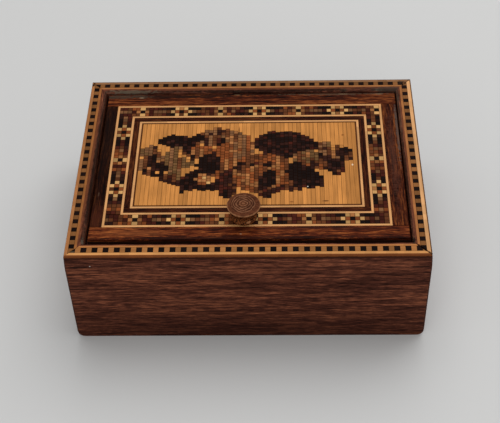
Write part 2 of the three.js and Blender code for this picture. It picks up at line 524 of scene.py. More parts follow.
class Finish:
    """A new material with its Principled shader, and a vector in millimetres with the grain along X."""

    def __init__(self, name, grain="X", shift=(0, 0, 0), roughness=0.5, specular=0.02):
        self.material = bpy.data.materials.new(name)
        self.material.use_nodes = True
        self.tree = self.material.node_tree
        self.tree.nodes.clear()
        out = self.tree.nodes.new("ShaderNodeOutputMaterial")
        self.shader = self.tree.nodes.new("ShaderNodeBsdfPrincipled")
        self.tree.links.new(self.shader.outputs[0], out.inputs["Surface"])
        self.shader.inputs["Roughness"].default_value = roughness
        self.shader.inputs["Specular IOR Level"].default_value = specular
        place = self.tree.nodes.new("ShaderNodeTexCoord").outputs["Object"]
        turn = {"X": (0, 0, 0), "Y": (0, 0, -math.pi / 2), "Z": (0, math.pi / 2, 0)}[grain]
        self.mm = add_node(
            self.tree, "ShaderNodeMapping",
            {"Vector": place, "Scale": (1 / MM, 1 / MM, 1 / MM)}).outputs[0]
        self.grain = add_node(
            self.tree, "ShaderNodeMapping",
            {"Vector": self.mm, "Location": shift, "Rotation": turn}).outputs[0]

    def group(self, name, **inputs):
        """Places a node group, which is built the first time that it is wanted."""
        tree = bpy.data.node_groups.get(name) or GROUPS[name](name)
        return add_node(self.tree, "ShaderNodeGroup", inputs, node_tree=tree).outputs

    def painted(self):
        """The colour painted on the mesh, and its polish in Alpha."""
        return add_node(self.tree, "ShaderNodeAttribute", attribute_name=TONE).outputs

    def smudges(self, base, marks):
        """Lays soft coloured spots over the base colour."""
        for spot in marks:
            mask = self.group(
                "smudge", Vector=self.mm, Centre=spot["at"], Reach=spot["reach"],
                Raggedness=spot["ragged"], Softness=spot["soft"])["Mask"]
            amount = math_node(self.tree, "MULTIPLY", mask, spot["strength"])
            base = mix_colour(self.tree, amount, base, spot["tint"])
        return base

    def connect(self, base, height=None, relief=0.02, roughness=None):
        self.tree.links.new(base, self.shader.inputs["Base Color"])
        if roughness is not None:
            self.tree.links.new(roughness, self.shader.inputs["Roughness"])
        if height is not None:
            bump = add_node(
                self.tree, "ShaderNodeBump",
                {"Strength": 0.5, "Distance": relief * MM, "Height": height})
            self.tree.links.new(bump.outputs[0], self.shader.inputs["Normal"])
        return self.material


def mark(at, reach, tint, strength=0.8, ragged=0.35, soft=0.35):
    """A soft spot in millimetres: its place, its reach each way and its colour as seen on a screen."""
    return {
        "at": at, "reach": reach, "tint": colour(*tint), "strength": strength, "ragged": ragged,
        "soft": soft}


def rosewood(name, grain, shift, woods, brightness=1.0, contrast=1.0, marks=()):
    """Polished rosewood in a dark, a middle and a light tone, with spots laid over it: worn and dirty spots,
    and on some pieces painted shade and painted highlights.
    """
    finish = Finish(name, grain, shift)
    dark, middle, light = (shade(wood, brightness) for wood in woods)
    figure = finish.group(
        "rosewood_figure", Vector=finish.grain, Dark=dark, Middle=middle, Light=light,
        Contrast=contrast)
    own = finish.painted()
    base = mix_colour(finish.tree, own["Alpha"], figure["Color"], own["Color"])
    return finish.connect(finish.smudges(base, marks), figure["Height"], 0.03)


def lid_woods():
    return colours().lid_dark, colours().lid, colours().lid_light


def tesserae(name, grain, strength=0.16, marks=()):
    """Polished small woods, each with its own colour, and rough dark glue lines."""
    finish = Finish(name, grain)
    own = finish.painted()
    fine = finish.group("fine_grain", Vector=finish.grain, Strength=strength)
    base = brighten(finish.tree, own["Color"], fine["Brightness"])
    rough = remap(finish.tree, own["Alpha"], 0, 1, 0.8, 0.45)
    return finish.connect(finish.smudges(base, marks), fine["Height"], 0.02, rough)


# Walls

CHIPS = (
    # side, place along it, length and depth of a broken stretch of the rim's inner edge, in millimetres
    ("back", -41.5, 9.0, 0.35),
    ("back", -37.0, 2.7, 0.55),
    ("back", -4.5, 4.0, 0.3),
    ("back", 31.0, 3.0, 0.35),
    ("back", 43.0, 3.5, 0.4),
    ("right", -34.0, 4.0, 0.6),
    ("left", -33.0, 3.0, 0.35),
    ("left", 8.0, 14.0, 0.15),
)


# The least wear of the rim's inner edge, and the length of the pieces that it is broken into
LEAST_CHIP = 0.04 * MM
CHIP_STEP = 0.55 * MM


def chip_depth(side, along):
    depth = LEAST_CHIP
    for chipped, place, length, deep in CHIPS:
        if chipped == side:
            reach = abs(along - place * MM) / (length * MM / 2)
            if reach < 1:
                depth = max(depth, deep * MM * (1 - reach ** 4))
    return depth


def wear_inner_edge(bm, side):
    """Breaks the inner edge of the rim down unevenly."""
    axis, across, facing = SIDES[side]
    lip = sizes().lip
    slope = sizes().slope
    half = CAD_BOX[1][axis]
    along = -half + CHIP_STEP
    while along < half:
        cut_across(bm, axis, along)
        along += CHIP_STEP
    near = 0.01 * MM
    mitre = half - lip - 0.3 * MM
    for vert in bm.verts:
        distance = inward(side, vert.co)
        if vert.co.z < RIM_Z - slope - near or distance < lip - slope - near:
            continue
        if abs(vert.co[axis]) > mitre:
            continue
        deep = chip_depth(side, vert.co[axis]) * (0.5 + noise.noise(vert.co * 1900))
        vert.co.z -= deep * (1.0 if distance > lip - near else 0.35)
        vert.co[across] += facing * deep * 0.6


# How grey the slope inside the rim is on each side before its chips, from 0 to 1
DUST = {"front": 0.1, "right": 0.15, "back": 0.14, "left": 0.18}


def dustiness(side, place):
    """How grey the slope inside the rim is at a place, from 0 to 1."""
    axis = SIDES[side][0]
    amount = DUST[side] + 0.6 * min(1.0, chip_depth(side, place[axis]) / (0.4 * MM))
    if side == "right":
        amount += 0.5 * max(0.0, place[axis] / CAD_BOX[1][axis])
    amount *= 0.75 + 0.9 * noise.noise(place * 900) + 0.5 * noise.noise(place * 2600)
    return max(0.0, min(0.95, amount))


WALL_MARKS = {
    "front": (
        # Painted shade darkening the front towards the floor, over grain that is a little darker there too
        mark((0, -40, 1.5), (110, 6, 15), (34, 15, 12), 0.7, 0.15, 0.95),
        mark((0, -40, 36.0), (70, 1, 0.5), (40, 20, 14), 0.6, 0.4, 0.5),
        mark((-54, -40, 20), (0.45, 1.2, 40), (26, 15, 12), 0.85, 0.1),
        mark((54, -40, 20), (0.45, 1.2, 40), (26, 15, 12), 0.85, 0.1),
        mark((-49.5, -40, 32.4), (4.2, 1, 0.45), (28, 15, 12)),
        mark((50.5, -40, 32.0), (3.2, 1, 0.35), (28, 15, 12)),
        mark((-46.4, -40, 32.9), (0.28, 1, 0.22), (190, 180, 170), 0.8),
        mark((48.9, -34.9, 36.9), (0.8, 0.8, 1.2), (34, 26, 20)),
    ),
    "right": (
        mark((48.9, -33.8, 36.8), (0.5, 1.2, 1.5), (30, 24, 20)),
        mark((49.5, 0, 37), (0.5, 42, 1.5), (110, 62, 38), 0.6, 0.3, 0.5),
        # Painted shade along the right inner slope, where the gap beside the lid lies in shadow
        mark((48.6, -10, 36.6), (0.55, 30, 1), (32, 18, 13), 0.75, 0.3, 0.5),
    ),
    "back": (
        mark((0, 35.6, 37), (60, 0.7, 0.7), (110, 62, 36), 0.6, 0.4, 0.5),
        mark((-40, 34.9, 36.6), (9, 0.7, 1), (104, 94, 78), 0.55, 0.7),
        mark((46, 35, 36.6), (6, 1.3, 3), (64, 56, 48), 0.6, 0.5),
        # Painted shade along the back inner slope, where the rim's inner face and the gap lie in shadow
        mark((6, 34.8, 36.6), (34, 0.5, 1), (28, 16, 12), 0.7, 0.5),
    ),
    "left": (
        mark((-49.8, 0, 37), (0.6, 42, 1.5), (118, 68, 40), 0.6, 0.3, 0.5),
        # Painted shade along the left inner slope, beside the dark gap round the lid
        mark((-48.7, 0, 36.6), (0.6, 44, 1), (30, 18, 13), 0.75, 0.3, 0.5),
        mark((-48.9, -33.6, 36.6), (0.35, 1.4, 2.5), (104, 96, 82), 0.5, 0.8),
    ),
}


class TRINKET_OT_walls(Operator):
    """Four mitred rosewood boards with a worn inner rim"""
    bl_idname = "trinket.walls"
    bl_label = "Walls"

    def execute(self, context):
        woods = colours()
        lip = sizes().lip
        slope = sizes().slope
        for index, (side, node) in enumerate(WALL_NODES.items()):
            bm = copy_of_node(node)
            round_corners(bm, side)
            low_edges = [
                edge for edge in bm.edges
                if all(max(vert.co.z, inward(side, vert.co)) < TOUCHING for vert in edge.verts)]
            bevel(bm, low_edges, sizes().board_edge)
            wear_inner_edge(bm, side)
            paint(bm, bm.faces, woods.dust, 0.0)
            bm.normal_update()
            for face in bm.faces:
                middle = face.calc_center_median()
                on_slope = lip - slope < inward(side, middle) < lip + slope / 2
                if middle.z > RIM_Z - 2 * slope and on_slope:
                    tone = shade(woods.dust, 1 + 0.5 * noise.noise(middle * 1300))
                    paint(bm, [face], tone, dustiness(side, middle))
            material = rosewood(
                f"{side}_rosewood", grain_of(side), (17 * index, 5 * index, 11 * index),
                (woods.wall_dark, woods.wall, woods.wall_light), marks=WALL_MARKS[side])
            finish_piece(bm, f"{side}_wall", [node], material)
        return {"FINISHED"}


# Edge banding: how far in from the outer face its worn edge, outer line and squares end, where the first
# square lies and how far apart they are, in millimetres, how bright the squares between the dark ones
# are, and the tones of the edge and the two lines. The edge's darker tone is partly dirt and partly painted
# shade on the rounded arris, and the lines' tones differ from side to side partly as painted light,
# lighter on the right and darker on the left
BANDING = {
    "front": {
        "edge": 0.8, "outer": 1.75, "squares": 3.8, "first": -51.345, "pitch": 3.275,
        "between": 1.0,
        "tones": (colour(112, 62, 31), colour(202, 142, 84), colour(176, 114, 64))},
    "right": {
        "edge": 0.7, "outer": 1.75, "squares": 3.55, "first": -36.89, "pitch": 3.46,
        "between": 0.68,
        "tones": (colour(96, 60, 34), colour(212, 158, 106), colour(160, 102, 58))},
    "back": {
        "edge": 0.5, "outer": 1.45, "squares": 3.2, "first": -51.674, "pitch": 3.284,
        "between": 0.6,
        "tones": (colour(82, 56, 36), colour(138, 98, 66), colour(160, 104, 60))},
    "left": {
        "edge": 0.4, "outer": 1.35, "squares": 3.05, "first": -39.08, "pitch": 3.40,
        "between": 0.62,
        "tones": (colour(58, 34, 20), colour(164, 108, 64), colour(150, 94, 50))},
}
# How wide each mitre of the banding stands open, in millimetres on either side
OPEN_MITRES = {
    ("front", 1): 0.2, ("right", -1): 0.2, ("front", -1): 0.05, ("left", -1): 0.05,
    ("back", -1): 0.06, ("left", 1): 0.06, ("back", 1): 0.05, ("right", 1): 0.05,
}
# Dark marks along both sides of the open mitre at the front right
SPLIT = tuple(
    mark((50.0 + step, -36.0 - step, 37), (0.42, 0.42, 1), (40, 28, 20), 0.85, 0.5)
    for step in (0, 0.7, 1.4, 2.1, 2.8, 3.5))
BANDING_MARKS = {
    "front": (
        mark((0, -40, 36.05), (400, 0.6, 0.62), (60, 30, 20), 1.0, 0.25, 0.2),
        mark((-51.2, -37.9, 37), (0.8, 0.28, 1), (96, 86, 68), 0.6),
        *SPLIT,
    ),
    "right": (
        *SPLIT,
        mark((54, 0, 36.05), (0.6, 400, 0.62), (54, 30, 22), 1.0, 0.25, 0.2),
        mark((51.2, 37.9, 37), (1.0, 1.1, 1), (52, 42, 34), 0.6, 0.7),
    ),
    "back": (
        mark((0, 40, 36.05), (400, 0.6, 0.62), (54, 30, 22), 1.0, 0.25, 0.2),
        mark((50.6, 38.2, 37), (1.4, 0.8, 1), (52, 38, 28), 0.6, 0.7),
        mark((53.2, 39.2, 37), (0.6, 0.5, 1), (24, 14, 10), 0.9, 0.4),
        mark((-53.2, 39.0, 36.6), (0.7, 0.7, 1), (26, 22, 14), 0.95),
    ),
    "left": (
        mark((-54, 0, 36.05), (0.6, 400, 0.62), (46, 26, 18), 1.0, 0.25, 0.2),
        mark((-53.2, 38.4, 36.6), (0.6, 0.9, 1), (26, 22, 14), 0.95),
    ),
}


# The length of the pieces whose tone changes along a light line of the banding
LINE_STEP = 3.1 * MM
# A square cut shorter than this by a corner is left out
LEAST_SQUARE = 0.1 * MM


def open_mitres(bm, side):
    """Cuts both ends of a side's banding back to its mitres."""
    for end, corner, direction in corner_planes(side, -1):
        trim(bm, corner - direction * OPEN_MITRES[side, end] * MM, direction)


def banding_lines(side, layout, rng):
    """The two light lines of one side, cut from the banding's solid."""
    outward = facing_out(side)
    outer = copy_of_node(f"{side}_edge_banding")
    trim(outer, point_in(side, layout["outer"] * MM), -outward)
    cut(outer, point_in(side, layout["edge"] * MM), outward)
    inner = copy_of_node(f"{side}_edge_banding")
    trim(inner, point_in(side, layout["squares"] * MM), outward)
    lines = new_shape()
    merge_into(lines, outer)
    merge_into(lines, inner)
    axis = SIDES[side][0]
    half = CAD_BOX[1][axis]
    place = -half + LINE_STEP
    while place < half:
        cut_across(lines, axis, place)
        place += LINE_STEP * rng.uniform(0.6, 1.4)
    lines.normal_update()
    for face in lines.faces:
        middle = face.calc_center_median()
        distance = inward(side, middle) / MM
        part = 0 if distance < layout["edge"] else 1 if distance < layout["outer"] else 2
        paint(lines, [face], clouded(layout["tones"][part], middle, 0.22, 330))
    return lines


def banding_squares(side, layout, rng):
    """The row of dark squares of one side, and the lighter ones between them."""
    woods = colours()
    half = CAD_BOX[1][SIDES[side][0]]
    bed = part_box(f"{side}_edge_banding")[0].z
    top = RIM_Z - sizes().relief
    pitch = layout["pitch"] * MM
    square = sizes().square
    row = new_shape()
    place = (layout["first"] - layout["pitch"]) * MM
    while place - square < half:
        for centre, length, dark in ((place, square, True), (place + pitch / 2, pitch - square, False)):
            start = max(-half, centre - length / 2 + rng.uniform(-0.04, 0.04) * MM)
            end = min(half, centre + length / 2)
            if end - start < LEAST_SQUARE:
                continue
            low = point_in(side, layout["outer"] * MM, start, bed)
            high = point_in(side, layout["squares"] * MM, end, top)
            tone = woods.bog_oak if dark else shade(woods.between, layout["between"])
            tone = shade(tone, rng.uniform(0.5 if dark else 0.7, 1.2))
            tessera(row, Vector(map(min, low, high)), Vector(map(max, low, high)), tone)
        place += pitch
    return row


class TRINKET_OT_edge_banding(Operator):
    """Banding round the rim: a light line, a row of dark squares and a light line"""
    bl_idname = "trinket.edge_banding"
    bl_label = "Edge Banding"

    def execute(self, context):
        rng = random.Random(sizes().seed)
        for side, layout in BANDING.items():
            bm = banding_lines(side, layout, rng)
            row = banding_squares(side, layout, rng)
            open_mitres(bm, side)
            open_mitres(row, side)
            with_joints(row, upper_faces(row), sizes().joint, rng)
            merge_into(bm, row)
            round_corners(bm, side)
            material = tesserae(
                f"{side}_banding_woods", grain_of(side), 0.24, BANDING_MARKS[side])
            finish_piece(bm, f"{side}_banding", [f"{side}_edge_banding"], material)
        return {"FINISHED"}


# Lid

def strip_from_node(node, width):
    """One straight veneer strip with lightly worn upper edges."""
    bm = bmesh.new()
    low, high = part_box(node)
    block(bm, low, high)
    top_edges = [
        edge for edge in bm.edges if all(vert.co.z > high.z - TOUCHING for vert in edge.verts)]
    bevel(bm, top_edges, width)
    bm.loops.layers.float_color.new(TONE)
    return bm


def rosewood_strip(node, name, slot, width, side, shift, *look):
    """One strip of the lid's rosewood, as bright, contrasty and marked as its look says."""
    bm = strip_from_node(node, width)
    paint(bm, bm.faces, colours().dust, 0.0)
    material = rosewood(f"{node}_rosewood", grain_of(side), shift, lid_woods(), *look)
    finish_piece(bm, name, [node], material)


# How bright each border strip is beside the others: painted light, the same polished rosewood painted lighter
# where it catches the light and darker on the left
BORDER_LIGHT_AND_SHADE = {"front": 1.05, "back": 0.78, "left": 0.18, "right": 0.6}
BORDER_CONTRAST = 1.3
BORDER_MARKS = {
    "front": (
        mark((-33, -29.6, 36), (15, 1.7, 1), (126, 70, 38), 0.5, 0.3, 0.7),
        mark((0, -31.7, 36), (50, 0.8, 1), (34, 16, 12), 0.7, 0.5),
        mark((20, -28.0, 36), (30, 0.9, 1), (52, 24, 18), 0.5, 0.4, 0.7),
        mark((-2.1, -30.2, 36), (0.32, 0.2, 1), (160, 138, 116), 0.7),
    ),
    "back": (
        mark((-25, 33.0, 36), (27, 0.9, 1), (30, 17, 12), 0.8, 0.5),
        mark((8, 33.7, 36), (14, 0.5, 1), (28, 16, 12), 0.8, 0.5),
        mark((-42, 33.2, 36), (8, 1.3, 1), (70, 58, 46), 0.65, 0.7),
        mark((27, 33.6, 36), (19, 0.6, 1), (80, 64, 50), 0.6, 0.8),
        mark((-36.6, 32.5, 36), (1.0, 0.28, 1), (140, 118, 94), 0.8, 0.2),
        mark((-4.5, 33.6, 36), (1.3, 0.3, 1), (110, 84, 60), 0.6, 0.2),
        mark((31.0, 33.6, 36), (1.9, 0.36, 1), (112, 88, 66), 0.7, 0.3),
        mark((42.8, 33.4, 36), (1.6, 0.4, 1), (106, 84, 64), 0.7, 0.3),
    ),
    "left": (
        mark((-45.8, -24, 36), (3.2, 9, 1), (78, 36, 22), 0.5, 0.3, 0.8),
        mark((-45.8, 14, 36), (3.2, 26, 1), (20, 9, 6), 0.7, 0.2, 0.8),
        mark((-46.2, -13, 36), (0.2, 1.1, 1), (90, 70, 56), 0.5),
    ),
    "right": (
        mark((45.4, 2, 36), (1.7, 24, 1), (88, 54, 42), 0.4, 0.6, 0.7),
        # Painted highlight along the rounded right edge of the lid
        mark((47.6, 15, 36), (0.5, 16, 1), (84, 76, 70), 0.6, 0.6),
    ),
}


class TRINKET_OT_lid_border(Operator):
    """Four rosewood strips round the edge of the lid"""
    bl_idname = "trinket.lid_border"
    bl_label = "Lid Border"

    def execute(self, context):
        for index, side in enumerate(SIDES):
            rosewood_strip(
                f"lid_border_{side}", f"border_{side}", "rosewood", sizes().strip_edge * 2.5, side,
                (31 + 13 * index, 4 * index, 9 * index),
                BORDER_LIGHT_AND_SHADE[side], BORDER_CONTRAST, BORDER_MARKS[side])
        return {"FINISHED"}


class TRINKET_OT_stringing(Operator):
    """Light lines round the mosaic band and the picture"""
    bl_idname = "trinket.stringing"
    bl_label = "Stringing"

    def execute(self, context):
        rng = random.Random(sizes().seed + 1)
        materials = {grain: tesserae(f"stringing_{grain.lower()}", grain) for grain in "XY"}
        for ring in ("outer", "middle", "inner"):
            for side in SIDES:
                node = f"{ring}_stringing_{side}"
                bm = strip_from_node(node, sizes().strip_edge)
                axis = SIDES[side][0]
                low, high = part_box(node)
                place = low[axis] + rng.uniform(3, 9) * MM
                while place < high[axis]:
                    cut_across(bm, axis, place)
                    place += rng.uniform(3, 9) * MM
                for face in bm.faces:
                    tone = clouded(colours().line, face.calc_center_median(), 0.25, 260)
                    paint(bm, [face], tone)
                finish_piece(
                    bm, f"{ring}_line_{side}", [node], materials[grain_of(side)])
        return {"FINISHED"}


class TRINKET_OT_dark_strips(Operator):
    """Dark rosewood strips between the lines round the picture"""
    bl_idname = "trinket.dark_strips"
    bl_label = "Dark Strips"

    def execute(self, context):
        for index, side in enumerate(SIDES):
            rosewood_strip(
                f"dark_strip_{side}", f"strip_{side}", "dark_rosewood", sizes().strip_edge, side,
                (7 * index, 21, 3 * index), 0.4)
        return {"FINISHED"}


# Mosaic border: a cross motif repeats with a ring motif half way between
REPEAT = 18
HALF_REPEAT = 9
BORDER_MOTIFS = {
    # side: place of one cross motif and the distance from it to the next ring motif, in millimetres
    "front": (-34.14, 13.1),
    "back": (-35.57, 12.85),
    "left": (2.3, 13.1),
    "right": (2.1, 13.5),
}


def border_wood(step, row, rng):
    """The wood of a border tessera, by its steps from a cross motif and its row: -1, 0 or 1."""
    woods = colours()
    cross = abs((step + HALF_REPEAT) % REPEAT - HALF_REPEAT)
    ring = HALF_REPEAT - cross
    outer = row != 0
    if cross == 0:
        return woods.holly if outer else woods.bog_oak
    if ring == 0:
        return rng.choice((woods.padouk, woods.cherry, woods.walnut)) if outer else woods.bog_oak
    if cross == 1:
        return rng.choice((woods.padouk, woods.walnut)) if outer else woods.cherry
    if ring == 1:
        return woods.holly if outer else woods.padouk
    if ring == 2 and not outer:
        return woods.holly
    if cross in (3, 4, 5, 6) and not outer:
        return rng.choice(
            (woods.harewood, woods.harewood, woods.walnut, woods.walnut, woods.purplewood))
    if cross < 4:
        return rng.choice((woods.walnut, woods.purplewood, woods.purplewood, woods.padouk))
    if cross == 4:
        return rng.choice((woods.walnut, woods.purplewood, woods.purplewood, woods.dark_brown))
    if cross == 5:
        return rng.choice((woods.purplewood, woods.dark_brown, woods.bog_oak))
    return rng.choice((woods.bog_oak, woods.bog_oak, woods.bog_oak, woods.dark_brown))


# How much broader each of a cross's light pair is than the rest, in steps, on the side away from it
BROADER = 0.15
# A tessera cut shorter than this by the end of its band is left out
LEAST_TESSERA = 0.15 * MM


def border_span(step, row):
    """Where a border tessera starts and ends, in steps."""
    cross = (step + HALF_REPEAT) % REPEAT - HALF_REPEAT
    start = step - 0.5
    end = step + 0.5
    if row and cross in (0, 1):
        start += BROADER * (1 if cross else -1)
    if row and cross in (0, -1):
        end += BROADER * (-1 if cross else 1)
    return start, end


class TRINKET_OT_mosaic_bands(Operator):
    """Border bands of small wood tesserae, three across"""
    bl_idname = "trinket.mosaic_bands"
    bl_label = "Mosaic Bands"

    def execute(self, context):
        rng = random.Random(sizes().seed + 2)
        for side, (cross_place, half_pitch) in BORDER_MOTIFS.items():
            node = f"mosaic_band_{side}"
            axis, across, _ = SIDES[side]
            low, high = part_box(node)
            length = half_pitch * MM / HALF_REPEAT
            width = (high[across] - low[across]) / 3
            bm = new_shape()
            first = math.floor((low[axis] - cross_place * MM) / length) - 1
            last = math.ceil((high[axis] - cross_place * MM) / length) + 1
            for row in (-1, 0, 1):
                for step in range(first, last + 1):
                    start, end = (
                        cross_place * MM + part * length for part in border_span(step, row))
                    start = max(low[axis], start)
                    end = min(high[axis], end)
                    if end - start < LEAST_TESSERA:
                        continue
                    near = Vector((0, 0, low.z))
                    near[axis] = start
                    near[across] = low[across] + (row + 1) * width
                    far = Vector((0, 0, high.z - sizes().relief))
                    far[axis] = end
                    far[across] = near[across] + width
                    tone = shade(border_wood(step, row, rng), rng.uniform(0.6, 1.1))
                    tessera(bm, near, far, tone)
            with_joints(bm, upper_faces(bm), sizes().joint, rng)
            material = tesserae(f"mosaic_band_{side}_woods", grain_of(side))
            finish_piece(bm, f"border_mosaic_{side}", [node], material)
        return {"FINISHED"}


# Picture: a spray of flowers and leaves. Each form is a leaf or a bloom, with its place from the middle of
# the picture, its half length and half breadth in millimetres, its turn in degrees and its kind of wood.
SPRAY = (
    ("oval", -30.6, 0.9, 7.2, 4.2, 96, "mottled"),
    ("oval", -32.0, 5.2, 2.6, 2.2, 30, "grey"),
    ("oval", -27.4, -2.1, 3.5, 2.0, 0, "black"),
    ("oval", -23.4, -7.4, 4.6, 2.7, -24, "dark"),
    ("leaf", -23.0, 0.9, 10.4, 2.9, 93, "green"),
    ("oval", -19.4, 0.4, 3.0, 2.9, 0, "green"),
    ("leaf", -23.4, 10.4, 6.6, 3.0, -2, "black"),
    ("leaf", -19.3, 8.2, 4.6, 2.3, -38, "black"),
    ("oval", -10.3, 12.0, 7.4, 4.1, 6, "bud"),
    ("oval", -16.2, 11.3, 1.7, 2.1, 0, "black"),
    ("oval", -8.4, 9.3, 2.3, 2.1, 0, "red"),
    ("oval", -3.4, 6.2, 7.6, 5.2, 84, "petal"),
    ("oval", -8.2, 1.0, 8.4, 3.6, 84, "orange"),
    ("leaf", -19.0, 4.4, 3.6, 1.6, -52, "dark"),
    ("oval", -14.4, 5.3, 4.6, 3.1, -4, "orange"),
    ("oval", -6.3, -9.6, 6.4, 3.5, 86, "dark"),
    ("leaf", -12.4, -1.0, 6.4, 3.8, 74, "black"),
    ("leaf", -16.6, -7.2, 7.0, 3.4, 58, "black"),
    ("oval", -13.6, -10.6, 5.2, 1.9, 4, "black"),
    ("oval", -13.9, -7.4, 2.5, 2.4, 0, "tan"),
    ("oval", 11.3, 8.6, 9.6, 6.3, -3, "leaf_brown"),
    ("leaf", 20.6, 7.6, 3.4, 1.6, -14, "leaf_brown"),
    ("oval", 4.9, -4.8, 10.2, 8.9, 0, "rose"),
    ("leaf", -1.8, -1.6, 4.0, 1.5, 24, "dark"),
    ("leaf", 4.9, -0.7, 6.4, 0.9, 0, "dark"),
    ("leaf", 6.2, -8.2, 5.6, 2.8, 74, "black"),
    ("oval", 5.6, -13.2, 3.2, 1.9, 80, "dark"),
    ("oval", 8.3, -12.6, 3.4, 1.5, 20, "dark"),
    ("oval", 18.6, 2.4, 4.2, 3.3, 0, "green"),
    ("oval", 24.5, 6.4, 2.6, 2.8, 0, "grey"),
    ("oval", 28.2, 3.4, 5.5, 4.2, 4, "mottled"),
    ("oval", 23.2, -1.0, 2.9, 2.4, 0, "brown"),
    ("oval", 28.0, -2.6, 3.6, 2.7, 88, "dark"),
    ("oval", 27.0, -0.8, 2.0, 1.7, 0, "black"),
    ("oval", 20.2, -1.9, 2.4, 2.0, 0, "brown"),
    ("leaf", 16.4, -4.2, 5.2, 3.0, -62, "black"),
    ("leaf", 18.2, -7.0, 7.0, 4.6, -28, "black"),
    ("leaf", 13.8, -11.3, 5.0, 1.6, 4, "dark"),
)

WOODS_OF = {
    # how often each wood comes, in the tesserae of one kind of leaf or petal
    "black": (("bog_oak", 11), ("dark_brown", 4)),
    "dark": (("dark_brown", 7), ("bog_oak", 3), ("walnut", 3), ("purplewood", 3)),
    "leaf_brown": (("bog_oak", 7), ("dark_brown", 8), ("purplewood", 2)),
    "mottled": (
        ("dark_brown", 5), ("walnut", 4), ("harewood", 3), ("bog_oak", 3), ("cherry", 1),
        ("satinwood", 1)),
    "brown": (("walnut", 5), ("padouk", 3), ("dark_brown", 2)),
    "grey": (("harewood", 6), ("walnut", 2), ("green_oak", 2)),
    "green": (("green_oak", 7), ("harewood", 3), ("walnut", 3), ("satinwood", 2), ("cherry", 1)),
    "bud": (("harewood", 4), ("walnut", 4), ("dark_brown", 2), ("cherry", 2)),
    "red": (("purplewood", 6), ("bog_oak", 1)),
    "petal": (("harewood", 4), ("cherry", 5), ("walnut", 2), ("padouk", 2)),
    "orange": (("padouk", 6), ("cherry", 2), ("walnut", 2)),
    "tan": (("cherry", 4), ("padouk", 2), ("holly", 1)),
}
ROSE_RINGS = ("walnut", "padouk", "cherry", "padouk", "walnut", "padouk", "cherry")


def pick_wood(kind, rng):
    names, weights = zip(*WOODS_OF[kind])
    return rng.choices(names, weights)[0]


# How often a tessera repeats the wood of the one below it, which gives the petals their upright streaks
REPEATED = {"petal": 0.5, "orange": 0.5, "bud": 0.45, "rose": 0.35, "green": 0.4, "mottled": 0.3}


def picture_wood(across, up, below, rng):
    """The kind and wood at a place in millimetres from the picture's middle, or None on its ground."""
    found = None
    for form, centre_x, centre_y, half_length, half_breadth, turn, kind in SPRAY:
        angle = math.radians(turn)
        right = across - centre_x
        above = up - centre_y
        along = (right * math.cos(angle) + above * math.sin(angle)) / half_length
        beside = (above * math.cos(angle) - right * math.sin(angle)) / half_breadth
        reach = along * along + beside * beside
        inside = abs(beside) < 1 - along * along if form == "leaf" else reach < 1
        if inside:
            found = (kind, math.sqrt(reach), math.atan2(beside, along))
    if found is None:
        return None
    kind, reach, bearing = found
    if below and below[0] == kind and rng.random() < REPEATED.get(kind, 0.0):
        return below
    if kind != "rose":
        return kind, pick_wood(kind, rng)
    turned = reach * 5 + bearing / math.tau * 2 + rng.uniform(-0.5, 0.5)
    return kind, ROSE_RINGS[int(turned) % len(ROSE_RINGS)]


PICTURE_MARKS = (
    mark((-3.5, 15.7, 36), (0.16, 2.3, 1), (56, 28, 12), 0.9, 0.05),
    mark((29.9, 13.2, 36), (0.6, 0.6, 1), (118, 66, 28), 0.75, 0.2, 0.6),
    mark((32.4, -0.7, 36), (0.32, 0.5, 1), (232, 206, 176), 0.85, 0.2),
    mark((18.2, -10.3, 36), (0.25, 0.25, 1), (226, 214, 200), 0.9, 0.1),
    mark((23.6, -16.6, 36), (1.2, 0.32, 1), (62, 26, 14), 0.85, 0.3),
    mark((13.2, -16.9, 36), (0.7, 0.3, 1), (120, 66, 30), 0.7, 0.3),
)


def column_runs(start, end, middle, across, shift, rng):
    """The woods up one slip's width: where each starts and ends, with its kind and wood. The ground
    between two forms is one long slip, and a shift moves the first end, so that rows don't line up."""
    height = sizes().row
    runs = []
    bottom = start
    while bottom < end - TOUCHING:
        upper = min(end, bottom + height * rng.uniform(0.93, 1.07))
        if bottom == start:
            upper += shift
        if end - upper < height / 2:
            upper = end
        up = ((bottom + upper) / 2 - middle) / MM
        wood = picture_wood(across, up, runs[-1][2] if runs else None, rng)
        if wood is None and runs and runs[-1][2] is None:
            runs[-1][1] = upper
        else:
            runs.append([bottom, upper, wood])
        bottom = upper
    return runs


